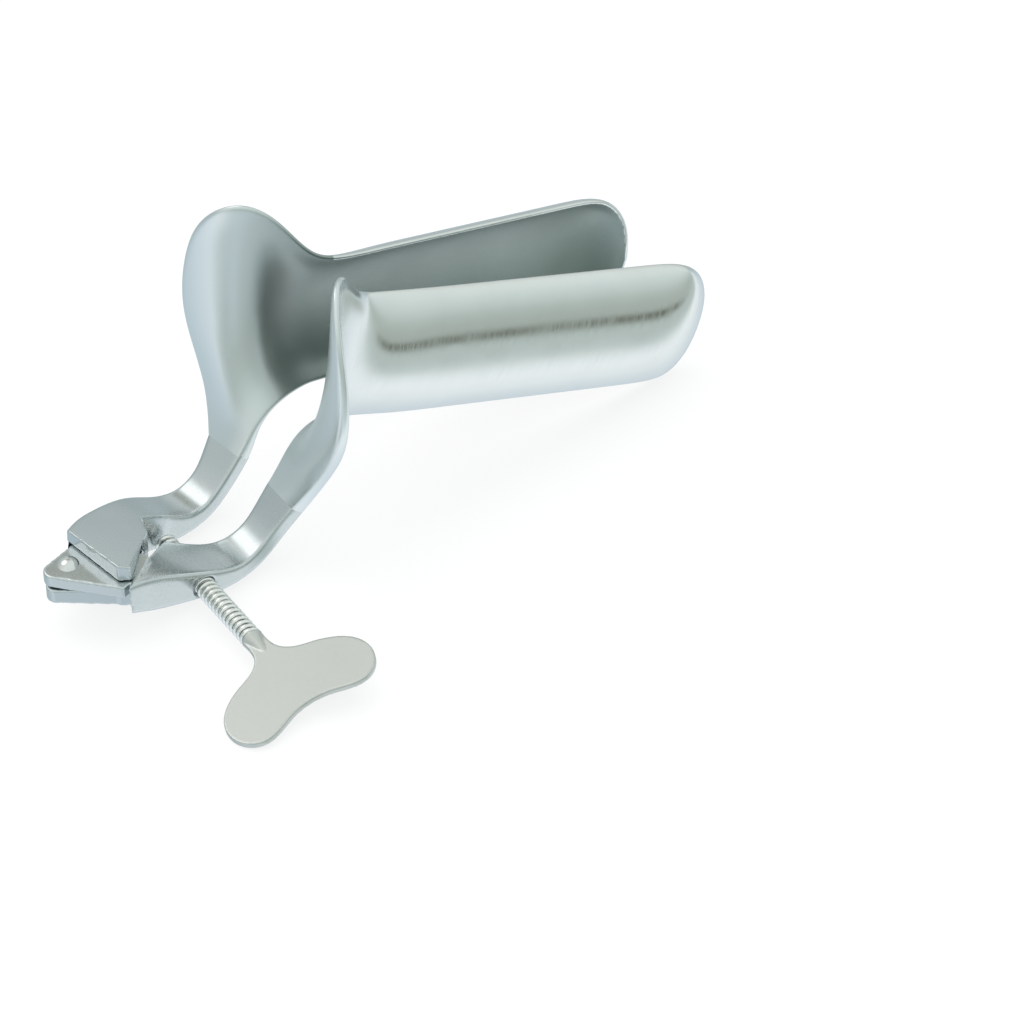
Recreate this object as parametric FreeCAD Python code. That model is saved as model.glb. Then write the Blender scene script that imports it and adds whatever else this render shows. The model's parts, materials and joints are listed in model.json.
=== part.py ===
import FreeCAD, Part
import math
import os

V = FreeCAD.Vector
os.makedirs("parts", exist_ok=True)

# Bivalve speculum: two spoon-shaped valves on forged arms, hinged at one end by a rivet
# and spread by a wing screw that passes through the right arm.
# Valve frame: x runs to the blade tip, y points away from the other valve, z is up the blade.
# Hinge frame: m runs from the rivet along the middle plane, y to the left valve, h along
# the rivet. All lengths are millimetres, all angles degrees.

# Blades
BLADE_LENGTH = 123.2      # mouth to tip
BLADE_WIDTH = 38.0        # edge to edge
BLADE_DEPTH = 9.3         # hollow of the spoon at its middle
BLADE_EDGE = 0.5          # blade edge to the middle plane with the valves together
TIP_ROUND_HIGH = 22.5     # length of the rounded tip outline along the upper edge
TIP_ROUND_LOW = 13.0      # and along the lower edge
TIP_DROP = 3.5            # foremost point of the tip below the blade's middle
TIP_CURL = 22.0           # length over which the tip curls inward
TIP_FLAT = 0.1            # straight end of the curl
TIP_HOOK = 3.0            # how far the tip curls past the blade edges
TIP_DIRECTION = V(-0.35, 0.94, 0)      # from the end of the tip back along the sheet
SHEET = 1.8               # sheet thickness of the blade
SEAM_SHEET = 4.6          # sheet thickness where the lip meets the arm

# Where the mouth of the blade sits in the hinge frame
MOUTH_M, MOUTH_H = 80.1, 29.3
BLADE_TILT = 22.8         # blade axis against the plane of the hinge plates

# Pose of the two valves: the angle between them as photographed, and the table
REST_OPENING = 9.58
TABLE_TILT = 5.4

# Key points of the flared lip, in the valve frame, from the mouth of the blade to the arm seam
RIM = [V(7.0, 0.4, 19.1), V(-3.0, 1.5, 20.6), V(-13.3, 6.5, 29.2), V(-22.2, 12.5, 32.8),
       V(-24.8, 18.7, 27.7), V(-20.8, 26.4, 9.0), V(-16.6, 26.9, -5.0), V(-10.0, 19.4, -23.6),
       V(-9.3, 12.8, -37.3)]
FLARE = [V(7.5, 12.4, 13.7), V(-2.0, 12.0, 15.0), V(-11.0, 11.5, 17.0), V(-13.0, 13.5, 1.0),
         V(-12.0, 13.0, -15.0), V(-10.0, 11.0, -26.0), V(-9.3, 8.7, -37.3)]
HOLLOW = [V(9.5, 12.3, -15.2), V(-1.0, 12.0, -17.0), V(-5.0, 11.0, -20.5),
          V(-7.3, 8.0, -28.5), V(-9.3, 4.8, -37.3)]
INNER = [V(11.0, 0.4, -19.1), V(1.5, 0.0, -21.0), V(-3.0, 0.0, -24.2), V(-6.5, 0.2, -29.8),
         V(-9.3, 0.7, -37.3)]
LIP_SECTIONS = 13
SEAM_DIRECTION = V(-0.31, 0.0, -0.95)

# Hinge head: a tongue on the right arm laps over a lower plate on the left arm
PLATE_TOP = 2.6           # top face of the tongue
TONGUE = 3.6              # tongue thickness
LAP_GAP = 0.3             # play between moving faces
LOWER_PLATE = 4.6         # lower plate thickness
PIN_FIT = 0.05            # play round a pin
NOSE = (-8.9, 1.5)        # where the two edges of the plates would meet
NOSE_ROUND = 2.6
FRONT_EDGE, FRONT_EDGE_ANGLE = 22.6, -46.4
BACK_EDGE, BACK_EDGE_ANGLE = 15.4, 15.1
STEP_RADIUS = 17.3        # distance of the step face from the rivet
STEP_ANGLE = 36.5         # direction of the step face
TONGUE_SIDE, TONGUE_SIDE_ANGLE = 6.0, -35.0
TONGUE_ROOT = 0.8         # how far the tongue runs on into the right arm
BLOCK_FRONT = 4.7         # front face of the left block
BLOCK_FACET, BLOCK_FACET_ANGLE = -13.3, -42.0
STEP_GAP = 0.7            # left block to the step face, valves together
STEP_END = -4.5           # where the side of the left block leaves the step line
SCREW_CLEAR = 5.4         # inner face of the left arm starts this far before the screw
RUN_OUT, RUN_OUT_FALL = 12.0, 0.4    # and runs out this far behind it
PLATE_CORNER = (20.0, 0.0)           # far corner of the lower plate, inside the block
BLOCK_FOOT = (12.0, -4.0) # corner of the part of the left arm that reaches below its plate
SLIT, SLIT_DEPTH = 0.7, 7.5
SLOT_PLAY = 0.4           # slot in the left block for the tongue: past its back edge,
SLOT_SIDE = 1.5           # and past its side, where it reaches farthest to the left

# Rivet
RIVET_SHANK = 1.9
RIVET_HEAD = 2.7
RIVET_DOME = 1.5
RIVET_TAIL = 0.5

# Arms
ARM_INNER = 1.7           # inner face to the middle plane
ARM_OUTER = 13.7          # outer face of the right arm at the screw
CORNER = 1.4              # rounding of the long edges

# Wing screw, square to the right arm
SCREW_M, SCREW_H = 30.4, -12.4
SCREW_RADIUS = 2.8
SCREW_OUTSIDE = 20.5      # thread between arm and wing in the photographed pose
SCREW_PLAY = 0.5          # screw tip to the left arm
COUNTERSINK = 0.7
JOINT_GAP = 0.1           # brazed joint between the thread and the wing
TENON_RADIUS, TENON_LENGTH = 1.2, 3.0
WING_TURN = 9.0           # wing plate against the hinge plates in that pose
WING_THICK = 1.8
NECK_LENGTH, NECK_TIP = 8.0, 0.5
NECK_HOLLOW = 0.15        # how far the taper of the neck bows inward

# Half outline of the wing plate: distance across, distance from the end of the thread
WING_FOOT = 26.0
WING_HALF = [(2.6, 3.2), (3.6, 7.0), (6.4, 9.6), (11.0, 11.4), (15.8, 13.8), (19.6, 17.6),
             (20.8, 22.0), (19.3, 26.4), (15.4, 29.0), (9.9, 28.4), (4.8, 26.6)]

# Arm sections from the seam to the hinge, each with its top point, its bottom point
# (both as m, h), its inner and outer side and the fall of the top towards the outside
COMMON_STATIONS = [
    ((54.6, -4.5), (58.2, -7.5), 1.0, 11.9, 0.0),
    ((51.9, -7.8), (55.3, -11.1), 1.4, 11.2, 0.0),
    ((49.0, -10.4), (51.9, -14.5), 1.7, 11.3, 0.0),
    ((45.8, -12.1), (47.3, -17.0), 1.7, 11.8, 0.0),
]
RIGHT_STATIONS = COMMON_STATIONS + [
    ((42.0, -12.6), (41.6, -17.8), 1.7, 12.6, 0.0),
    ((37.6, -11.1), (36.0, -17.4), 1.7, 13.2, 0.0),
    ((33.0, -8.2), (30.4, -16.4), 1.7, 13.6, 0.6),
    ((28.0, -4.4), (24.6, -14.3), 1.7, 14.0, 1.6),
    ((22.5, 0.0), (18.6, -12.1), 1.7, 14.6, 2.8),
    ((16.0, 4.6), (12.3, -9.3), 1.7, 15.2, 3.6),
    ((9.0, 6.6), (7.0, -5.9), 1.7, 16.0, 3.4),
    ((1.0, 7.4), (0.0, -4.0), 1.7, 16.6, 3.0),
]
LEFT_STATIONS = COMMON_STATIONS + [
    ((42.0, -12.0), (41.6, -17.6), 1.7, 12.4, 0.0),
    ((37.6, -9.6), (36.0, -17.0), 1.7, 12.7, 0.3),
    ((33.0, -5.6), (30.6, -15.5), 1.7, 12.7, 0.8),
    ((28.0, -1.6), (25.5, -13.6), 0.4, 12.4, 1.4),
    ((22.5, 1.6), (20.0, -11.4), -6.5, 11.6, 2.0),
    ((16.0, 4.6), (14.0, -8.6), -13.0, 10.4, 2.4),
    ((9.0, 7.2), (8.0, -6.2), -18.0, 8.2, 1.8),
    ((2.0, 9.2), (2.0, -5.9), -20.0, 4.0, 1.0),
]

# Derived levels, and a length beyond every piece
TONGUE_LOW = PLATE_TOP - TONGUE
LOWER_TOP = TONGUE_LOW - LAP_GAP
PLATE_BOTTOM = LOWER_TOP - LOWER_PLATE
BORE_RADIUS = SCREW_RADIUS + PIN_FIT
THREAD_END = -(ARM_OUTER + SCREW_OUTSIDE)
FAR = 80.0


# Points and curves
def along(point, angle, length):
    """The point at a length from another, in a direction of the hinge plane."""
    a = math.radians(angle)
    return (point[0] + length * math.cos(a), point[1] + length * math.sin(a))


def hinge_point(x, y, z):
    """A point of the valve frame in the hinge frame, valves together."""
    c, s = math.cos(math.radians(BLADE_TILT)), math.sin(math.radians(BLADE_TILT))
    return V(MOUTH_M + c * x + s * z, y, MOUTH_H - s * x + c * z)


def bezier(p0, p1, p2, p3, t):
    a = 1 - t
    return p0 * a**3 + p1 * (3 * a * a * t) + p2 * (3 * a * t * t) + p3 * t**3


def rail(points):
    """A smooth curve through key points, as a function of its share from 0 to 1."""
    curve = Part.BSplineCurve()
    curve.interpolate(points)
    last = curve.LastParameter
    return lambda share: curve.value(share * last)


def skin(rows):
    """A smooth solid through closed rows of control points, flat at its two ends."""
    u, v = len(rows), len(rows[0])
    surface = Part.BSplineSurface()
    u_knots = [float(k) for k in range(u - 2)]
    v_knots = [float(k) for k in range(v + 1)]
    u_mults = [4] + [1] * (u - 4) + [4]
    v_mults = [1] * (v + 1)
    surface.buildFromPolesMultsKnots(
        rows, u_mults, v_mults, u_knots, v_knots, False, True, 3, 3)
    side = surface.toShape()
    caps = [Part.Face(Part.Wire(edge)) for edge in side.Edges if edge.isClosed()]
    shell = Part.Shell([side] + caps)
    shell.sewShape()
    return Part.Solid(shell)


# Sheet valve: a ribbon of cross sections from the blade tip round the lip to the arm seam.
# Each section is a four-point curve from the lower or inner edge to the upper or outer edge.
def tip_share(x, length):
    """How much of its distance from the foremost point an edge has left in the rounded tip."""
    u = max(0.0, (x - (BLADE_LENGTH - length)) / length)
    return (1 - u**2.2) ** (1 / 2.2)


def blade_section(x):
    high = (BLADE_WIDTH / 2 + TIP_DROP) * tip_share(x, TIP_ROUND_HIGH) - TIP_DROP
    low = -(BLADE_WIDTH / 2 - TIP_DROP) * tip_share(x, TIP_ROUND_LOW) - TIP_DROP
    centre, half = (high + low) / 2, (high - low) / 2
    curl = min(1.0, max(0.0, (x - (BLADE_LENGTH - TIP_CURL)) / (TIP_CURL - TIP_FLAT)))
    edge = BLADE_EDGE - TIP_HOOK * curl**3
    middle = BLADE_EDGE + (BLADE_DEPTH - BLADE_EDGE) * math.sqrt(1 - curl**2)
    middle = max(edge, middle - TIP_HOOK * curl**3)
    bow = edge + (middle - edge) / 0.75
    lower, upper = centre - 1.02 * half, centre + 0.93 * half
    return (V(x, edge, low), V(x, bow, lower), V(x, bow, upper), V(x, edge, high))


def sheet_sides(lip_section):
    """Sheet thickness towards the hollow of the spoon and away from it, by lip section.

    The key points lie on the outside of the blade and on the hollow side of the arm.
    """
    t = min(1.0, max(0.0, lip_section / LIP_SECTIONS))
    share = t * t * (3 - 2 * t)
    thickness = SHEET + (SEAM_SHEET - SHEET) * share
    return thickness * (1 - share), thickness * share


def sheet_valve():
    shares = (0.022, 0.065, 0.15, 0.27, 0.43, 0.65, 0.95)
    ends = [BLADE_LENGTH - 0.9 * TIP_FLAT]
    ends += [BLADE_LENGTH - TIP_ROUND_HIGH * share for share in shares]
    body = [92.0, 78.0, 64.0, 50.0, 36.0, 22.0]
    rails = [rail(INNER), rail(HOLLOW), rail(FLARE), rail(RIM)]
    rows = [blade_section(x) for x in ends + body]
    lip_start = len(rows)
    rows += [[r(k / LIP_SECTIONS) for r in rails] for k in range(LIP_SECTIONS + 1)]
    across = 10
    grid = [[bezier(*row, j / (across - 1)) for j in range(across)] for row in rows]
    loops = []
    for i in range(len(rows)):
        inner, outer = [], []
        for j in range(across):
            a, b = grid[i][max(0, j - 1)], grid[i][min(across - 1, j + 1)]
            if i == 0:
                flow = TIP_DIRECTION
            elif i == len(rows) - 1:
                flow = SEAM_DIRECTION
            else:
                flow = grid[i + 1][j] - grid[i - 1][j]
            normal = (b - a).cross(flow).normalize()
            inward, outward = sheet_sides(i - lip_start)
            inner.append(grid[i][j] + normal * inward)
            outer.append(grid[i][j] - normal * outward)
        loops.append(inner + outer[::-1])
    return skin(loops)


# Forged arms
FOOT = INNER[-1]
SEAM = hinge_point(FOOT.x, 0.0, FOOT.z)
SEAM_LOW = hinge_point(FOOT.x - SEAM_DIRECTION.z * SEAM_SHEET, 0.0,
                       FOOT.z + SEAM_DIRECTION.x * SEAM_SHEET)
SEAM_STATION = ((SEAM.x, SEAM.z), (SEAM_LOW.x, SEAM_LOW.z), 0.8, 12.6, 0.0)


def section_loop(top, under, inner, outer, fall):
    """Control points of a rounded four-sided section; they crowd at its corners."""
    start = V(top[0], 0, top[1])
    down = V(under[0], 0, under[1]) - start
    depth = down.Length
    down.normalize()
    corners = [(inner, 0.0), (outer, fall), (outer, depth), (inner, depth)]
    radius = min(CORNER, 0.4 * (depth - fall))
    loop = []
    for k in range(4):
        (y0, d0), (y1, d1), (y2, d2) = corners[k - 1], corners[k], corners[(k + 1) % 4]
        back = radius / math.hypot(y1 - y0, d1 - d0)
        ahead = radius / math.hypot(y2 - y1, d2 - d1)
        for share_back, share_ahead in ((back, 0), (0, 0), (0, ahead)):
            y = y1 + (y0 - y1) * share_back + (y2 - y1) * share_ahead
            d = d1 + (d0 - d1) * share_back + (d2 - d1) * share_ahead
            loop.append(start + down * d + V(0, y, 0))
        loop.append(start + down * ((d1 + d2) / 2) + V(0, (y1 + y2) / 2, 0))
    return loop


def arm_bar(stations):
    return skin([section_loop(*station) for station in [SEAM_STATION] + stations])


def prism(points, low, high, rounding=None):
    """A plate between two heights; rounding gives the radius at its first corner."""
    corners = [V(x, y, low) for x, y in points]
    edges = []
    chain = corners + corners[:1]
    if rounding:
        a, p, b = corners[-1], corners[0], corners[1]
        to_a, to_b = (a - p).normalize(), (b - p).normalize()
        half = to_a.getAngle(to_b) / 2
        back = rounding / math.tan(half)
        centre = p + (to_a + to_b).normalize() * (rounding / math.sin(half))
        middle = centre + (p - centre).normalize() * rounding
        start, end = p + to_a * back, p + to_b * back
        edges.append(Part.Arc(start, middle, end).toShape())
        chain = [end] + corners[1:] + [start]
    edges += [Part.makeLine(chain[k], chain[k + 1]) for k in range(len(chain) - 1)]
    return Part.Face(Part.Wire(edges)).extrude(V(0, 0, high - low))


def bore(radius, low, high):
    return Part.makeCylinder(radius, high - low, V(0, 0, low))


def across_arm(radius, start, end):
    """A cylinder on the screw axis between two distances from the middle plane."""
    return Part.makeCylinder(radius, end - start, V(SCREW_M, start, SCREW_H), V(0, 1, 0))


def right_side(shape):
    return shape.mirror(V(0, 0, 0), V(0, 1, 0))


# The step face is a line in plan, touching a circle round the rivet
FRONT_CORNER = along(NOSE, FRONT_EDGE_ANGLE, FRONT_EDGE)
BACK_CORNER = along(NOSE, BACK_EDGE_ANGLE, BACK_EDGE)
SIDE_CORNER = along(BACK_CORNER, TONGUE_SIDE_ANGLE, TONGUE_SIDE)


def step_line(gap, y):
    """Point of the step line, moved towards the rivet by a gap, at a given y."""
    foot = along((0, 0), STEP_ANGLE - 90, STEP_RADIUS - gap)
    return along(foot, STEP_ANGLE, (y - foot[1]) / math.sin(math.radians(STEP_ANGLE)))


ROOT_END = step_line(0, -8.5)


def right_arm():
    bar = right_side(arm_bar(RIGHT_STATIONS))
    low_end, high_end = step_line(0, -20.0), step_line(0, ARM_INNER)
    keep = [low_end, high_end, (FAR, ARM_INNER), (FAR, -FAR), (low_end[0], -FAR)]
    bar = bar.common(prism(keep, -FAR, FAR))
    tongue = prism([NOSE, FRONT_CORNER, step_line(-TONGUE_ROOT, FRONT_CORNER[1] + 1.5),
                    step_line(-TONGUE_ROOT, ROOT_END[1] - 1.0), ROOT_END,
                    SIDE_CORNER, BACK_CORNER],
                   TONGUE_LOW, PLATE_TOP, NOSE_ROUND)
    arm = bar.fuse(tongue)
    arm = arm.cut(bore(RIVET_SHANK, -FAR, FAR))
    arm = arm.cut(across_arm(BORE_RADIUS, -FAR, 0))
    sink = Part.makeCone(BORE_RADIUS + COUNTERSINK + 2, BORE_RADIUS, COUNTERSINK + 2,
                         V(SCREW_M, -ARM_OUTER - 2, SCREW_H), V(0, 1, 0))
    return arm.cut(sink).removeSplitter()


def left_arm():
    bar = arm_bar(LEFT_STATIONS)
    block = prism([(BLOCK_FRONT, -FAR), (FAR, -FAR), (FAR, FAR), (BLOCK_FRONT, FAR)],
                  PLATE_BOTTOM, FAR)
    foot_m, foot_y = BLOCK_FOOT
    foot = prism([(foot_m, foot_y), (FAR, foot_y), (FAR, FAR), (foot_m, FAR)],
                 -FAR, PLATE_BOTTOM)
    bar = bar.common(block.fuse(foot))
    facet = (BLOCK_FRONT, BLOCK_FACET)
    start, end = along(facet, BLOCK_FACET_ANGLE, -FAR), along(facet, BLOCK_FACET_ANGLE, FAR)
    bar = bar.cut(prism([start, end, along(end, -132.0, FAR), along(start, -132.0, FAR)],
                        -FAR, FAR))
    plate = prism([NOSE, FRONT_CORNER, step_line(STEP_GAP, -13.0), PLATE_CORNER, BACK_CORNER],
                  PLATE_BOTTOM, LOWER_TOP, NOSE_ROUND)
    wedge = Part.makePolygon([V(NOSE[0], -FAR, LOWER_TOP), V(NOSE[0] + SLIT_DEPTH, -FAR, LOWER_TOP),
                              V(NOSE[0], -FAR, LOWER_TOP - SLIT), V(NOSE[0], -FAR, LOWER_TOP)])
    plate = plate.cut(Part.Face(wedge).extrude(V(0, 2 * FAR, 0)))
    arm = bar.fuse(plate)
    beyond = [step_line(STEP_GAP, -FAR), step_line(STEP_GAP, STEP_END),
              (SCREW_M - SCREW_CLEAR, ARM_INNER), (SCREW_M + RUN_OUT, ARM_INNER - RUN_OUT_FALL),
              (FAR, -FAR)]
    arm = arm.cut(prism(beyond, -FAR, FAR))
    back_start = along(along(NOSE, BACK_EDGE_ANGLE, -FAR), BACK_EDGE_ANGLE + 90, SLOT_PLAY)
    back_end = along(back_start, BACK_EDGE_ANGLE, FAR + BACK_EDGE + SLOT_PLAY)
    side = along(SIDE_CORNER, -TONGUE_SIDE_ANGLE, SLOT_SIDE)
    root = along(ROOT_END, -TONGUE_SIDE_ANGLE, SLOT_SIDE)
    slot = prism([back_start, back_end, side, root, (root[0], -FAR), (-FAR, -FAR)],
                 LOWER_TOP, PLATE_TOP + LAP_GAP)
    arm = arm.cut(slot)
    return arm.cut(bore(RIVET_SHANK + PIN_FIT, -FAR, FAR)).removeSplitter()


def rivet():
    tail_low = PLATE_BOTTOM - LAP_GAP - RIVET_TAIL
    shank = bore(RIVET_SHANK, tail_low, PLATE_TOP)
    ball_radius = (RIVET_HEAD**2 + RIVET_DOME**2) / (2 * RIVET_DOME)
    ball = Part.makeSphere(ball_radius, V(0, 0, PLATE_TOP + RIVET_DOME - ball_radius))
    dome = ball.common(bore(RIVET_HEAD, PLATE_TOP, PLATE_TOP + 2 * RIVET_DOME))
    tail = Part.makeCone(RIVET_HEAD - 0.4, RIVET_HEAD, RIVET_TAIL, V(0, 0, tail_low))
    return shank.fuse(dome).fuse(tail).removeSplitter()


# Wing screw
def screw_tip():
    """Where the screw tip stands on its axis when it meets the open left arm."""
    a = math.radians(REST_OPENING)
    return (ARM_INNER + SCREW_M * math.sin(a)) / math.cos(a) - SCREW_PLAY


def spindle():
    """Thread body with a domed tip and the tenon for the wing, turned about the screw axis."""
    tip = screw_tip()
    tenon_end = THREAD_END - TENON_LENGTH
    dome = 1.6 * SCREW_RADIUS
    shoulder = tip - dome + math.sqrt(dome**2 - SCREW_RADIUS**2)
    half_way = tip - dome + math.sqrt(dome**2 - SCREW_RADIUS**2 / 4)
    profile = [V(0, tenon_end, 0), V(TENON_RADIUS, tenon_end, 0), V(TENON_RADIUS, THREAD_END, 0),
               V(SCREW_RADIUS, THREAD_END, 0), V(SCREW_RADIUS, shoulder, 0)]
    end = Part.Arc(profile[-1], V(SCREW_RADIUS / 2, half_way, 0), V(0, tip, 0)).toShape()
    axis = Part.makeLine(V(0, tip, 0), profile[0])
    outline = Part.Wire(Part.makePolygon(profile).Edges + [end, axis])
    rod = Part.Face(outline).revolve(V(0, 0, 0), V(0, 1, 0), 360)
    rod.translate(V(SCREW_M, 0, SCREW_H))
    return rod


def wing():
    start = THREAD_END - JOINT_GAP
    first, last = V(SCREW_RADIUS, start, 0), V(-SCREW_RADIUS, start, 0)
    down = [V(s, start - t, 0) for s, t in WING_HALF]
    up = [V(-s, start - t, 0) for s, t in reversed(WING_HALF)]
    curve = Part.BSplineCurve()
    curve.interpolate([first] + down + [V(0, start - WING_FOOT, 0)] + up + [last])
    outline = Part.Wire([curve.toShape(), Part.makeLine(last, first)])
    plate = Part.Face(outline).extrude(V(0, 0, WING_THICK))
    plate.translate(V(0, 0, -WING_THICK / 2))
    half_way = V((SCREW_RADIUS + NECK_TIP) / 2 - NECK_HOLLOW, start - NECK_LENGTH / 2, 0)
    tip = V(NECK_TIP, start - NECK_LENGTH, 0)
    taper = Part.Arc(first, half_way, tip).toShape()
    rest = Part.makePolygon([tip, V(0, tip.y, 0), V(0, start, 0), first])
    neck = Part.Face(Part.Wire([taper] + rest.Edges)).revolve(V(0, 0, 0), V(0, 1, 0), 360)
    body = plate.fuse(neck)
    body.rotate(V(0, 0, 0), V(0, 1, 0), -WING_TURN)
    body.translate(V(SCREW_M, 0, SCREW_H))
    socket = across_arm(TENON_RADIUS + PIN_FIT, THREAD_END - TENON_LENGTH - LAP_GAP, THREAD_END)
    return body.cut(socket).removeSplitter()


blade = sheet_valve()
blade.rotate(V(0, 0, 0), V(0, 1, 0), BLADE_TILT)
blade.translate(V(MOUTH_M, 0, MOUTH_H))
right = {
    "right_blade": right_side(blade),
    "right_arm": right_arm(),
    "hinge_rivet": rivet(),
    "screw_spindle": spindle(),
    "wing_plate": wing(),
}
left = {
    "left_blade": blade,
    "left_arm": left_arm(),
}

# Open the valves, tilt the instrument on the table, set the origin below its middle
nodes = {}
for half, turn in ((right, -REST_OPENING / 2), (left, REST_OPENING / 2)):
    for name, shape in half.items():
        shape = shape.Solids[0].copy()
        shape.rotate(V(0, 0, 0), V(0, 0, 1), turn)
        shape.rotate(V(0, 0, 0), V(0, 1, 0), -TABLE_TILT)
        nodes[name] = shape
whole = Part.makeCompound(list(nodes.values())).optimalBoundingBox()
shift = V(-(whole.XMin + whole.XMax) / 2, -(whole.YMin + whole.YMax) / 2, -whole.ZMin)
print("shift", [round(v, 4) for v in shift])

for name, shape in nodes.items():
    shape.translate(shift)
    print(name, shape.isValid(), round(shape.Volume, 1), "mm3")
    shape.exportStep("parts/" + name + ".step")
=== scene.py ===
# %% [markdown]
# # Bivalve speculum in satin stainless steel
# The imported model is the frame: it gives every solid its size and place, in metres, and the
# bodies that move. This script adds what the eye needs: finishes, soft rounded edges, the
# screw thread, a pale table and studio light.

# %% Load the frame
import json
import math

import bmesh
import bpy
import numpy as np
from mathutils import Matrix, Vector
from mathutils.kdtree import KDTree


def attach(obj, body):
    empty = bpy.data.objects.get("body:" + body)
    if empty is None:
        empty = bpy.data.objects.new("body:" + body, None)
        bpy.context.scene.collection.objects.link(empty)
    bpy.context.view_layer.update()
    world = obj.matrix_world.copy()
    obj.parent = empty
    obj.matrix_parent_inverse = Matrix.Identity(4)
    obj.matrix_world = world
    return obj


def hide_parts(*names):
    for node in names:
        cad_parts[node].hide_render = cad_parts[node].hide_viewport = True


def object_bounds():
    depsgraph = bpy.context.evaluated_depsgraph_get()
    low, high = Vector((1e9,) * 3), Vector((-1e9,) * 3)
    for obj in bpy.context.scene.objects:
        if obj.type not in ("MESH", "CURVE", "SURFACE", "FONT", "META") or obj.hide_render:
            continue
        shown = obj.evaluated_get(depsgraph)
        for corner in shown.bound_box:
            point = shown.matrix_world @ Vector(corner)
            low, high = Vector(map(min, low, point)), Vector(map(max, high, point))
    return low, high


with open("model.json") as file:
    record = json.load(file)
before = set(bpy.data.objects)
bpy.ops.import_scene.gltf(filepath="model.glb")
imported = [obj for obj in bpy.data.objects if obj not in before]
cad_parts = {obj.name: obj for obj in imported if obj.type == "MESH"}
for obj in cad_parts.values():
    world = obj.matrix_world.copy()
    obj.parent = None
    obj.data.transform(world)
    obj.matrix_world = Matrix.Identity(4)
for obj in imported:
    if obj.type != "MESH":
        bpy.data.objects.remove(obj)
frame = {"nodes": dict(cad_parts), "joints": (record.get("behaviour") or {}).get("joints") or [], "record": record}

MM = 0.001
cad_box = [[float(v) for v in corner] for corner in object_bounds()]
size_mm = [round((hi - lo) / MM, 1) for lo, hi in zip(*cad_box)]
print("nodes:", sorted(frame["nodes"]))
print("size of the part in mm:", size_mm)

# %% [markdown]
# A colour picked on a screen is an sRGB hex value, while the renderer counts in linear light.
# One function turns the first into the second, so that each finish can be written as a
# person would name it.

# %% Colour and node helpers
def linear(hex_colour):
    channels = [int(hex_colour[i:i + 2], 16) / 255 for i in (1, 3, 5)]
    return [c / 12.92 if c <= 0.04045 else ((c + 0.055) / 1.055) ** 2.4 for c in channels] + [1.0]


def add(tree, kind, settings=None, inputs=None):
    """Add a node, set its properties, and set or link its inputs."""
    node = tree.nodes.new(kind)
    for name, value in (settings or {}).items():
        setattr(node, name, value)
    for name, value in (inputs or {}).items():
        socket = node.inputs[name]
        if isinstance(value, bpy.types.NodeSocket):
            tree.links.new(value, socket)
        else:
            socket.default_value = value
    return node


def joint(name):
    return next(j for j in frame["joints"] if j["name"] == name)


# %% [markdown]
# The camera stands where the photographer stood, up and to the left behind the wing plate,
# with a long lens, so the two blades hardly converge. Its place was fitted to the outlines
# of the two mirrored valves.

# %% Camera
camera_data = bpy.data.cameras.new("studio_camera")
camera_data.sensor_width = 36.0
camera_data.lens = 172.822
camera_data.clip_end = 10.0
camera = bpy.data.objects.new("studio_camera", camera_data)
camera.location = (-0.624175, -0.684778, 0.840351)
camera.rotation_euler = [math.radians(a) for a in (47.7252, -4.3640, -40.0528)]
bpy.context.scene.collection.objects.link(camera)
bpy.context.scene.camera = camera
print("camera distance in mm:", round(camera.location.length / MM))

# %% [markdown]
# Satin steel has hardly a colour of its own: it shows the room. A product tent is pale all
# round, bluish below where the paper sheet throws light back, with one narrow seam in front.
# The blades are long and curve only across, so each lengthwise stripe on them shows one
# direction round their axis. The world is therefore a ramp over that angle: 0 degrees is
# level towards the front, 90 is overhead, -90 straight down. The seam of the tent is a dark
# strip, narrow in that angle and limited along the blade too, so its mirror image, the thin
# olive line on the near blade, fades out at both ends. A window behind on the left gives
# the burnt-out spots where the arms bend up. Two grey flags keep the flat top of the hinge
# and its front faces duller than the wing plate. The camera itself sees plain white.

# %% World
TENT = [(-180, "#A2ACAE"), (-150, "#A9B4B7"), (-127, "#B4C1C8"), (-95, "#C8D1D8"),
        (-83, "#CFD8DE"), (-72, "#DCE2E6"), (-58, "#E9EDF0"), (-52, "#E0E6E8"),
        (-48, "#C6D0D0"), (-45, "#B3BEBD"), (-40, "#ADB8B6"), (-34, "#B6C1BF"),
        (-30.5, "#ADB7B4"), (-22, "#A6AFAA"),
        (-14, "#A3ACA7"), (-2, "#ADB7B3"), (9, "#B9C3C0"), (25, "#C4CECC"),
        (50, "#D0D8D7"), (84, "#D3DAD8"), (105, "#CDD1CE"), (128, "#CBCDCA"),
        (150, "#C2C9C9"), (165, "#B2BABA"), (180, "#A2ACAE")]
TENT_STRENGTH = 1.3

# The seam: its two sides as angles, its two ends as a cosine along the near blade, and
# where it is gone and where it is full, as shares of its half width
BLADE_AXIS = (0.946, -0.078, -0.313)
SEAM_COLOUR = "#585B4F"
SEAM_ANGLE = (math.radians(-29.5), math.radians(-23.5))
SEAM_SPAN = (0.50, 0.82)
SEAM_EDGE = (1.6, 0.5)

# Direction, closeness (as a cosine) where each pane begins and where it is full, light, share
PANES = [
    ((0.40, 0.53, 0.75), 0.955, 0.995, linear("#A3A69F"), 1.0),
    ((-0.48, -0.56, -0.67), 0.90, 0.98, linear("#C0CBD1"), 1.0),
    ((-0.30, 0.53, 0.79), 0.90, 0.985, [1.5, 1.5, 1.5, 1.0], 0.8),
]

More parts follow.
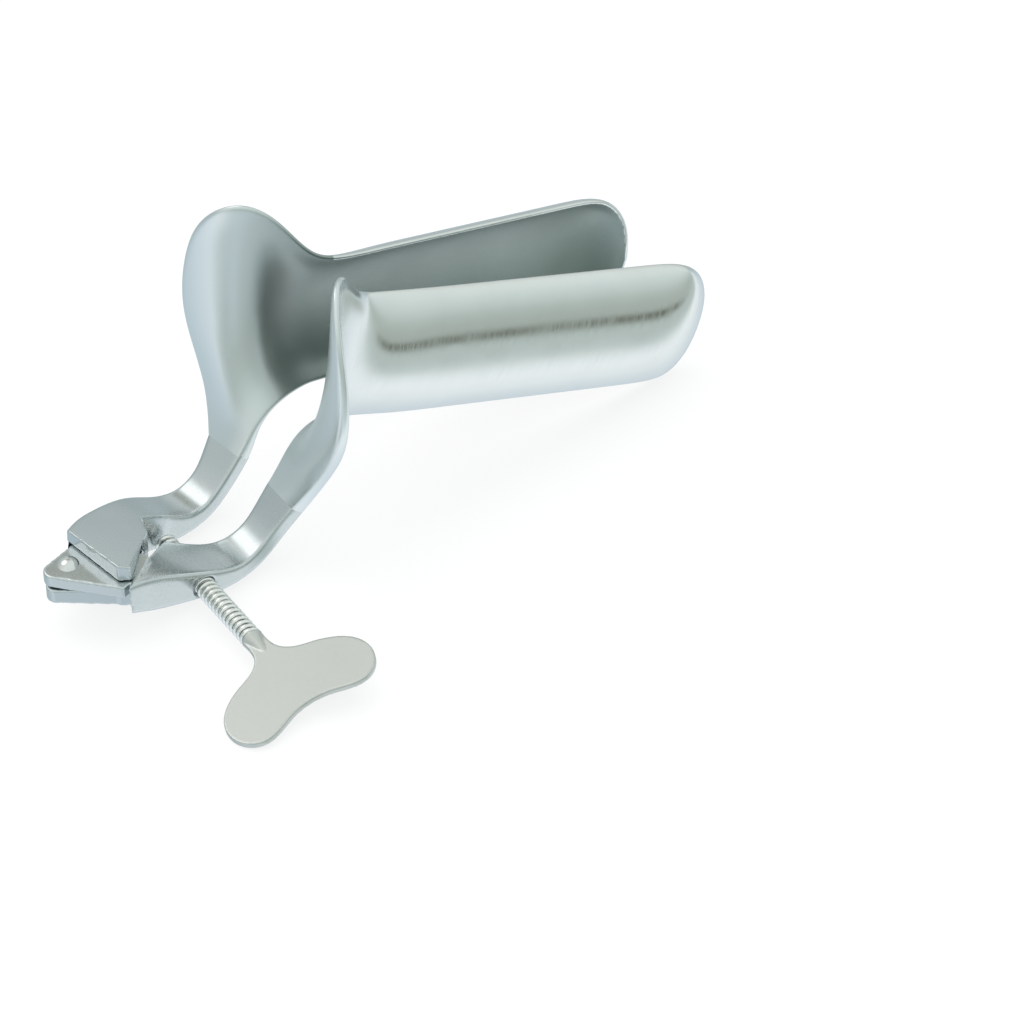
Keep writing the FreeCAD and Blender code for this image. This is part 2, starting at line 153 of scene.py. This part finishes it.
world = bpy.data.worlds.new("light_tent")
bpy.context.scene.world = world
world.use_nodes = True
tent = world.node_tree
tent.nodes.clear()
sky = add(tent, "ShaderNodeTexCoord").outputs["Generated"]
axes = add(tent, "ShaderNodeSeparateXYZ", inputs={"Vector": sky})
front = add(tent, "ShaderNodeMath", {"operation": "MULTIPLY"}, {0: axes.outputs["Y"], 1: -1.0})
angle = add(tent, "ShaderNodeMath", {"operation": "ARCTAN2"}, {
    0: axes.outputs["Z"], 1: front.outputs[0]})
share = add(tent, "ShaderNodeMapRange", inputs={
    "Value": angle.outputs[0], "From Min": -math.pi, "From Max": math.pi})
cloth = add(tent, "ShaderNodeValToRGB", inputs={"Fac": share.outputs["Result"]})
ramp = cloth.color_ramp
while len(ramp.elements) < len(TENT):
    ramp.elements.new(0.5)
for element, (degrees, colour) in zip(ramp.elements, TENT):
    element.position = (degrees + 180) / 360
    element.color = linear(colour)
light = cloth.outputs["Color"]
lengthwise = add(tent, "ShaderNodeVectorMath", {"operation": "DOT_PRODUCT"}, {
    0: sky, 1: BLADE_AXIS})
across_and_along = []
for measured, (low, high) in ((angle.outputs[0], SEAM_ANGLE),
                              (lengthwise.outputs["Value"], SEAM_SPAN)):
    off = add(tent, "ShaderNodeMath", {"operation": "SUBTRACT"}, {
        0: measured, 1: (low + high) / 2})
    away = add(tent, "ShaderNodeMath", {"operation": "ABSOLUTE"}, {0: off.outputs[0]})
    half = (high - low) / 2
    across_and_along.append(add(
        tent, "ShaderNodeMapRange", {"interpolation_type": "SMOOTHSTEP"}, {
            "Value": away.outputs[0], "From Min": half * SEAM_EDGE[0],
            "From Max": half * SEAM_EDGE[1]}))
seam = add(tent, "ShaderNodeMath", {"operation": "MULTIPLY"}, {
    0: across_and_along[0].outputs["Result"], 1: across_and_along[1].outputs["Result"]})
light = add(tent, "ShaderNodeMix", {"data_type": "RGBA"}, {
    "Factor": seam.outputs[0], 6: light, 7: linear(SEAM_COLOUR)}).outputs[2]
for direction, begins, full, colour, amount in PANES:
    closeness = add(tent, "ShaderNodeVectorMath", {"operation": "DOT_PRODUCT"}, {
        0: sky, 1: Vector(direction).normalized()})
    pane = add(tent, "ShaderNodeMapRange", {"interpolation_type": "SMOOTHSTEP"}, {
        "Value": closeness.outputs["Value"], "From Min": begins, "From Max": full,
        "To Max": amount})
    light = add(tent, "ShaderNodeMix", {"data_type": "RGBA"}, {
        "Factor": pane.outputs["Result"], 6: light, 7: colour}).outputs[2]
rays = add(tent, "ShaderNodeLightPath")
seen = add(tent, "ShaderNodeBackground", inputs={"Color": linear("#FFFFFF"), "Strength": 1.0})
mirrored = add(tent, "ShaderNodeBackground", inputs={
    "Color": light, "Strength": TENT_STRENGTH})
either = add(tent, "ShaderNodeMixShader", inputs={
    "Fac": rays.outputs["Is Camera Ray"], 1: mirrored.outputs[0], 2: seen.outputs[0]})
add(tent, "ShaderNodeOutputWorld", inputs={"Surface": either.outputs[0]})
bpy.context.scene.view_settings.view_transform = "Standard"
print("tent zones:", len(TENT))

# %% [markdown]
# The table is a plain sheet of white paper. It takes the soft shadow of the instrument, and
# a little light of its own, for the camera only, keeps the paper white without more light
# on the steel.

# %% Table
paper = bpy.data.materials.new("white_paper_matt")
paper.use_nodes = True
tree = paper.node_tree
tree.nodes.clear()
matt = add(tree, "ShaderNodeBsdfPrincipled", inputs={
    "Base Color": linear("#F6F6F6"), "Roughness": 0.9, "Specular IOR Level": 0.1})
glow = add(tree, "ShaderNodeEmission", inputs={"Color": linear("#FFFFFF"), "Strength": 1.0})
rays = add(tree, "ShaderNodeLightPath")
part = add(tree, "ShaderNodeMath", {"operation": "MULTIPLY"}, {
    0: rays.outputs["Is Camera Ray"], 1: 0.8})
blend = add(tree, "ShaderNodeMixShader", inputs={
    "Fac": part.outputs[0], 1: matt.outputs[0], 2: glow.outputs[0]})
add(tree, "ShaderNodeOutputMaterial", inputs={"Surface": blend.outputs[0]})

floor_mesh = bpy.data.meshes.new("paper_sheet")
span = 1.6
floor_mesh.from_pydata([(-span, -span, 0), (span, -span, 0), (span, span, 0), (-span, span, 0)],
                       [], [(0, 1, 2, 3)])
floor = bpy.data.objects.new("paper_sheet", floor_mesh)
floor_mesh.materials.append(paper)
floor.visible_glossy = False
bpy.context.scene.collection.objects.link(floor)

# %% [markdown]
# Two soft boxes give the paper its light and the instrument its faint shadow. They are
# kept out of the steel, which shows the tent only.

# %% Lamps
def soft_box(name, place, target, width, length, power):
    data = bpy.data.lights.new(name, "AREA")
    data.shape = "RECTANGLE"
    data.size, data.size_y = width, length
    data.energy = power
    lamp = bpy.data.objects.new(name, data)
    lamp.location = place
    aim = Vector(target) - Vector(place)
    lamp.rotation_euler = aim.to_track_quat("-Z", "Y").to_euler()
    lamp.visible_glossy = False
    bpy.context.scene.collection.objects.link(lamp)
    print(name, "at", [round(v, 2) for v in place], "power in watts", power)


soft_box("overhead_box", (0.1, 0.3, 1.2), (0, 0, 0.02), 1.6, 1.4, 10.0)
soft_box("front_box", (-0.9, -0.3, 0.8), (0, 0, 0.02), 0.8, 0.8, 2.5)

# %% [markdown]
# The sheet and the forgings are stainless steel, glass-bead blasted and then brushed with a
# fine belt. The eye sees a light grey metal with blurred reflections and, close up, fine
# lines across the blade. The lines are a noise pattern squeezed across the brushing and
# stretched along it, in real millimetres, and they change both the roughness and the bump.
# The hollow side of a blade is left rougher, as blasted, and its colour is darker: painted shade
# for the light that hardly reaches into the canal. Lip and foot have one lighter colour and
# roughness on both sides, without that painted shade, so near the hinge both finishes pass
# into one.

# %% Satin steel
LIP_START, LIP_END = -38.0, -8.0


def satin_steel(name, colour, turn, grain_mm, roughness, relief, lip=None):
    """Brushed stainless steel; turn lays the brushing, grain_mm is its size on each axis.

    A lip finish, if given as colour and roughness, holds outside the canal of the blades.
    """
    finish = bpy.data.materials.new(name)
    finish.use_nodes = True
    tree = finish.node_tree
    tree.nodes.clear()
    place = add(tree, "ShaderNodeTexCoord")
    laid = add(tree, "ShaderNodeMapping", {"vector_type": "POINT"}, {
        "Vector": place.outputs["Object"], "Rotation": [math.radians(a) for a in turn]})
    scaled = add(tree, "ShaderNodeVectorMath", {"operation": "MULTIPLY"}, {
        0: laid.outputs[0], 1: [1 / (g * MM) for g in grain_mm]})
    lines = add(tree, "ShaderNodeTexNoise", inputs={
        "Vector": scaled.outputs[0], "Scale": 1.0, "Detail": 3.0, "Roughness": 0.6})
    cloud = add(tree, "ShaderNodeTexNoise", inputs={
        "Vector": place.outputs["Object"], "Scale": 1 / (14 * MM), "Detail": 2.0})
    grain = add(tree, "ShaderNodeTexNoise", inputs={
        "Vector": place.outputs["Object"], "Scale": 1 / (0.35 * MM), "Detail": 1.0})
    rough = add(tree, "ShaderNodeMapRange", inputs={
        "Value": lines.outputs["Fac"], "From Min": 0.3, "From Max": 0.7,
        "To Min": roughness - 0.05, "To Max": roughness + 0.07})
    wear = add(tree, "ShaderNodeMapRange", inputs={
        "Value": cloud.outputs["Fac"], "From Min": 0.3, "From Max": 0.7,
        "To Min": -0.03, "To Max": 0.04})
    total = add(tree, "ShaderNodeMath", {"operation": "ADD"}, {
        0: rough.outputs[0], 1: wear.outputs[0]})
    both = add(tree, "ShaderNodeMath", {"operation": "ADD"}, {
        0: lines.outputs["Fac"], 1: grain.outputs["Fac"]})
    bump = add(tree, "ShaderNodeBump", inputs={
        "Height": both.outputs[0], "Strength": relief, "Distance": 0.02 * MM})
    plain = linear(colour)
    tint = add(tree, "ShaderNodeMix", {"data_type": "RGBA"}, {
        "Factor": cloud.outputs["Fac"], 6: [c * 0.94 for c in plain[:3]] + [1.0],
        7: [min(1.0, c * 1.05) for c in plain[:3]] + [1.0]})
    # In the hollow finish this ramp runs from the light lip colour to the darker canal colour: painted shade that
    # deepens into the canal.
    if lip:
        axes = add(tree, "ShaderNodeSeparateXYZ", inputs={"Vector": place.outputs["Object"]})
        inward = add(tree, "ShaderNodeMapRange", {"interpolation_type": "SMOOTHSTEP"}, {
            "Value": axes.outputs["X"], "From Min": LIP_START * MM,
            "From Max": LIP_END * MM})
        tint = add(tree, "ShaderNodeMix", {"data_type": "RGBA"}, {
            "Factor": inward.outputs["Result"], 6: linear(lip[0]), 7: tint.outputs[2]})
        total = add(tree, "ShaderNodeMix", {"data_type": "FLOAT"}, {
            "Factor": inward.outputs["Result"], 2: lip[1], 3: total.outputs[0]})
    steel = add(tree, "ShaderNodeBsdfPrincipled", inputs={
        "Base Color": tint.outputs[2], "Metallic": 1.0, "Roughness": total.outputs[0],
        "Normal": bump.outputs[0]})
    add(tree, "ShaderNodeOutputMaterial", inputs={"Surface": steel.outputs[0]})
    return finish


BLADE_SLOPE = 17.4
LIP = ("#E6EBEB", 0.30)
UNTURNED = (0, 0, 0)
sheet = satin_steel("brushed_stainless_sheet", "#E3E6E4", (0, -BLADE_SLOPE, 0),
                    (0.4, 9.0, 9.0), 0.17, 0.035, LIP)
# The hollow's darker colour is painted shade in the canal; its higher roughness is the blasted finish.
hollow = satin_steel("blasted_hollow_painted_shade", "#9DA8A4", UNTURNED,
                     (0.5, 0.5, 0.5), 0.40, 0.12, LIP)
forging = satin_steel("satin_stainless_forging", "#CDD3D4", UNTURNED,
                      (0.6, 0.6, 0.6), 0.21, 0.02)
wing_satin = satin_steel("blasted_stainless_plate", "#CED0CC", (0, 9, 0),
                         (0.6, 0.6, 0.6), 0.34, 0.25)
rivet_polish = satin_steel("polished_stainless_rivet", "#E4E5E3", UNTURNED,
                           (3.0, 3.0, 3.0), 0.14, 0.05)
thread_bright = satin_steel("rolled_stainless_thread", "#F2F2EF", UNTURNED,
                            (1.0, 1.0, 1.0), 0.14, 0.08)
print("finishes:", [m.name for m in bpy.data.materials])

# %% [markdown]
# The imported mesh is loose triangles, right for collision but faceted in a reflection. Each
# piece gets a copy with its points merged, and the copy replaces its node. Three helpers do
# what one piece or another needs. The first tells the hollow side of a blade from its back
# and rim, because the hollow side gets a rougher finish whose colour is darkened with painted
# shade. In the canal, a hollow face looks towards the middle of its own slice; on the lip, it
# looks at the other blade or the hinge.

# %% Hollow side of a blade
SLICE_MM = 4
TIP_SLICES = 3
FACING = 0.25
LIP_FACING = -0.45


# The faces found here take the hollow finish, whose darker colour is painted shade.
def hollow_faces(shape, to_middle):
    """Faces of a blade on its hollow side; the tip looks back at a slice before it."""
    step = SLICE_MM * MM
    slices = {}
    for vert in shape.verts:
        slices.setdefault(round(vert.co.x / step), []).append(vert.co)
    last = max(slices) - TIP_SLICES
    middle = {key: sum(places, Vector()) / len(places) for key, places in slices.items()}
    found = []
    for face in shape.faces:
        centre = face.calc_center_median()
        if centre.x < LIP_END * MM:
            inside = face.normal.y * to_middle > 0.0 or face.normal.x < LIP_FACING
        else:
            inward = middle[min(round(centre.x / step), last)] - centre
            inside = face.normal.dot(inward.normalized()) > FACING
        if inside:
            found.append(face)
    return found


# %% [markdown]
# Arm and blade meet in a plane, where the photograph shows no groove, only a faint change of
# finish. The arm's arrises are worn round, its end too, so the end is pushed a little into
# the blade's foot. Its plane is found from the points that both pieces share.

# %% Buried end of an arm
BURIED_MM = 0.7
SAME_PLACE_MM = 0.02


def search_tree(places):
    tree = KDTree(len(places))
    for index, place in enumerate(places):
        tree.insert(place, index)
    tree.balance()
    return tree


def bury_end(shape, neighbour):
    """Push the end that meets the neighbour a little into it."""
    tree = search_tree([v.co for v in frame["nodes"][neighbour].data.vertices])
    same = SAME_PLACE_MM * MM
    everything = np.array([v.co for v in shape.verts])
    shared = np.array([v.co for v in shape.verts if tree.find(v.co)[2] < same])
    anchor = shared.mean(axis=0)
    push = np.linalg.svd(shared - anchor)[2][2]
    push *= np.sign(push @ (anchor - everything.mean(axis=0)))
    end = [v for v in shape.verts if abs(push @ (np.array(v.co) - anchor)) < same]
    for vert in end:
        vert.co += Vector(push) * BURIED_MM * MM
    print("buried end of", len(end), "points towards", [round(float(c), 2) for c in push])


# %% [markdown]
# A thin sheet can't be remeshed without losing its rim, so the blades keep their faces. The
# long thin triangles would make a reflected line jagged. Each point therefore takes the
# average normal of the points around it, weighted by area and closeness. Points that face
# another way, on the rim or the far side of the sheet, don't count.

# %% Even normals
REACH_MM = 4.0
LIKE = 0.95


def even_normals(mesh):
    """Replace each point's normal by the average of like normals within reach."""
    places = np.array([v.co for v in mesh.vertices])
    normals = np.array([v.normal for v in mesh.vertices])
    area = np.zeros(len(places))
    for face in mesh.polygons:
        area[list(face.vertices)] += face.area / 3
    tree = search_tree(places)
    even = normals.copy()
    for index, place in enumerate(places):
        near = np.array([hit[1] for hit in tree.find_range(place, REACH_MM * MM)])
        near = near[normals[near] @ normals[index] > LIKE]
        distance = np.linalg.norm(places[near] - place, axis=1) / (REACH_MM * MM)
        weight = area[near] * (1.001 - distance ** 2)
        even[index] = weight @ normals[near]
    even /= np.linalg.norm(even, axis=1, keepdims=True)
    mesh.normals_split_custom_set_from_vertices(even.tolist())


# %% [markdown]
# Arms and wing are forged and then tumbled, which wears their arrises round. A grid of small
# even faces, smoothed a little, shows that, and a bevel doesn't: on long thin triangles it
# leaves chips. Blades and rivet are split along their sharp edges instead, so that no normal
# is averaged over an edge.

# %% Dress a piece
MERGE_MM = 0.002
COLLAPSE_MM = 0.001


def body_of(node):
    bodies = frame["record"]["behaviour"]["bodies"]
    return next(body for body, nodes in bodies.items() if node in nodes)


def wear_edges(piece, voxel_mm):
    grid = piece.modifiers.new("even_grid", "REMESH")
    grid.mode = "VOXEL"
    grid.voxel_size = voxel_mm * MM
    grid.use_smooth_shade = True
    wear = piece.modifiers.new("worn_arris", "SMOOTH")
    wear.factor = 0.5
    wear.iterations = 6


def dress(node, finish, sharp_deg=40, voxel_mm=0.0, inside=None, meets=None):
    """Replace a node by a copy with real edges and finish, on the node's own body."""
    mesh = frame["nodes"][node].data.copy()
    mesh.name = node + "_steel"
    mesh.materials.clear()
    mesh.materials.append(finish)
    shape = bmesh.new()
    shape.from_mesh(mesh)
    bmesh.ops.remove_doubles(shape, verts=shape.verts, dist=MERGE_MM * MM)
    bmesh.ops.dissolve_degenerate(shape, edges=shape.edges, dist=COLLAPSE_MM * MM)
    for face in shape.faces:
        face.smooth = True
        face.material_index = 0
    # The second finish, on the hollow side, carries painted shade in its darker colour.
    if inside:
        mesh.materials.append(inside)
        hollow_side = hollow_faces(shape, -1.0 if node.startswith("left") else 1.0)
        for face in hollow_side:
            face.material_index = 1
        print(node, "faces in the hollow:", len(hollow_side), "of", len(shape.faces))
    if meets:
        bury_end(shape, meets)
    if not voxel_mm:
        sharp = math.radians(sharp_deg)
        crisp = [e for e in shape.edges if e.calc_face_angle(0.0) >= sharp]
        bmesh.ops.split_edges(shape, edges=crisp)
    shape.to_mesh(mesh)
    shape.free()
    piece = bpy.data.objects.new(node + "_steel", mesh)
    bpy.context.scene.collection.objects.link(piece)
    if voxel_mm:
        wear_edges(piece, voxel_mm)
    else:
        even_normals(mesh)
    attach(piece, body_of(node))
    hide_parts(node)
    graph = bpy.context.evaluated_depsgraph_get()
    print(piece.name, "polygons:", len(piece.evaluated_get(graph).data.polygons))


# %% [markdown]
# The blades are brushed sheet outside and blasted inside, with painted shade in the hollow.
# Arms and wing get the worn edges, with a finer grid for the thin wing plate.

# %% Blades, arms, rivet and wing
dress("right_blade", sheet, inside=hollow)
dress("left_blade", sheet, inside=hollow)
dress("right_arm", forging, voxel_mm=0.3, meets="right_blade")
dress("left_arm", forging, voxel_mm=0.3, meets="left_blade")
dress("hinge_rivet", rivet_polish, sharp_deg=35)
dress("wing_plate", wing_satin, voxel_mm=0.2)

# %% [markdown]
# The screw has a rolled thread with rounded crests, about thirteen turns between the arm
# and the wing. A thread is one profile swept along a helix, so Geometry Nodes make it: a
# core cylinder, and a round wire swept along a spiral curve. Its crest is as wide as the
# packed spindle, so it fills the same bore.

# %% Screw thread
PITCH = 1.6
ROOT = 1.9
WIRE_SHARE = 0.37
TENON = 3.0
END_ROOM = 1.0

axis = Vector(joint("screw_feed")["axis"])
spindle = frame["nodes"]["screw_spindle"]
along_axis = [v.co.dot(axis) for v in spindle.data.vertices]
centre = Vector(joint("wing_turn")["pos_m"])
centre -= axis * centre.dot(axis)
low_end, high_end = min(along_axis), max(along_axis)
crest = max((v.co - centre - axis * v.co.dot(axis)).length for v in spindle.data.vertices)
print("screw length mm", round((high_end - low_end) / MM, 2),
      "crest radius mm", round(crest / MM, 2))


def thread_tree():
    tree = bpy.data.node_groups.new("rolled_thread", "GeometryNodeTree")
    face = tree.interface
    for name in ("Pitch", "Length", "Crest Radius", "Root Radius"):
        face.new_socket(name, in_out="INPUT", socket_type="NodeSocketFloat")
    face.new_socket("Finish", in_out="INPUT", socket_type="NodeSocketMaterial")
    face.new_socket("Geometry", in_out="OUTPUT", socket_type="NodeSocketGeometry")
    given = add(tree, "NodeGroupInput").outputs
    turns = add(tree, "ShaderNodeMath", {"operation": "DIVIDE"}, {
        0: given["Length"], 1: given["Pitch"]})
    depth = add(tree, "ShaderNodeMath", {"operation": "SUBTRACT"}, {
        0: given["Crest Radius"], 1: given["Root Radius"]})
    wire = add(tree, "ShaderNodeMath", {"operation": "MULTIPLY"}, {
        0: given["Pitch"], 1: WIRE_SHARE})
    path_radius = add(tree, "ShaderNodeMath", {"operation": "SUBTRACT"}, {
        0: given["Crest Radius"], 1: wire.outputs[0]})
    spiral = add(tree, "GeometryNodeCurveSpiral", inputs={
        "Resolution": 48, "Rotations": turns.outputs[0], "Start Radius": path_radius.outputs[0],
        "End Radius": path_radius.outputs[0], "Height": given["Length"]})
    profile = add(tree, "GeometryNodeCurvePrimitiveCircle", inputs={
        "Resolution": 14, "Radius": wire.outputs[0]})
    ridge = add(tree, "GeometryNodeCurveToMesh", inputs={
        "Curve": spiral.outputs[0], "Profile Curve": profile.outputs[0], "Fill Caps": True})
    core = add(tree, "GeometryNodeMeshCylinder", inputs={
        "Vertices": 64, "Radius": given["Root Radius"], "Depth": given["Length"]})
    half = add(tree, "ShaderNodeMath", {"operation": "MULTIPLY"}, {0: given["Length"], 1: 0.5})
    middle = add(tree, "ShaderNodeCombineXYZ", inputs={"Z": half.outputs[0]})
    raised = add(tree, "GeometryNodeTransform", inputs={
        "Geometry": core.outputs["Mesh"], "Translation": middle.outputs[0]})
    joined = add(tree, "GeometryNodeJoinGeometry")
    tree.links.new(raised.outputs[0], joined.inputs[0])
    tree.links.new(ridge.outputs[0], joined.inputs[0])
    smooth = add(tree, "GeometryNodeSetShadeSmooth", inputs={"Geometry": joined.outputs[0]})
    real = add(tree, "GeometryNodeRealizeInstances", inputs={"Geometry": smooth.outputs[0]})
    coated = add(tree, "GeometryNodeSetMaterial", inputs={
        "Geometry": real.outputs[0], "Material": given["Finish"]})
    add(tree, "NodeGroupOutput", inputs={"Geometry": coated.outputs[0]})
    return tree


holder = bpy.data.objects.new("thread_maker", bpy.data.meshes.new("thread_maker"))
bpy.context.scene.collection.objects.link(holder)
maker = holder.modifiers.new("thread", "NODES")
maker.node_group = thread_tree()
thread_length = (high_end - low_end) / MM - TENON
values = {"Pitch": PITCH * MM, "Length": (thread_length - END_ROOM) * MM, "Crest Radius": crest,
          "Root Radius": ROOT * MM, "Finish": thread_bright}
for item in maker.node_group.interface.items_tree:
    if item.in_out == "INPUT":
        maker[item.identifier] = values[item.name]
graph = bpy.context.evaluated_depsgraph_get()
thread_mesh = bpy.data.meshes.new_from_object(holder.evaluated_get(graph))
thread_mesh.name = "screw_thread"
bpy.data.objects.remove(holder)
turn = Vector((0, 0, 1)).rotation_difference(axis).to_matrix().to_4x4()
start = centre + axis * (low_end + TENON * MM)
thread_mesh.transform(Matrix.Translation(start) @ turn)
thread = bpy.data.objects.new("screw_thread", thread_mesh)
bpy.context.scene.collection.objects.link(thread)
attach(thread, "spindle")
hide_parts("screw_spindle")
print("thread faces:", len(thread_mesh.polygons))

# %% The CAD box
print("cad box:", cad_box)
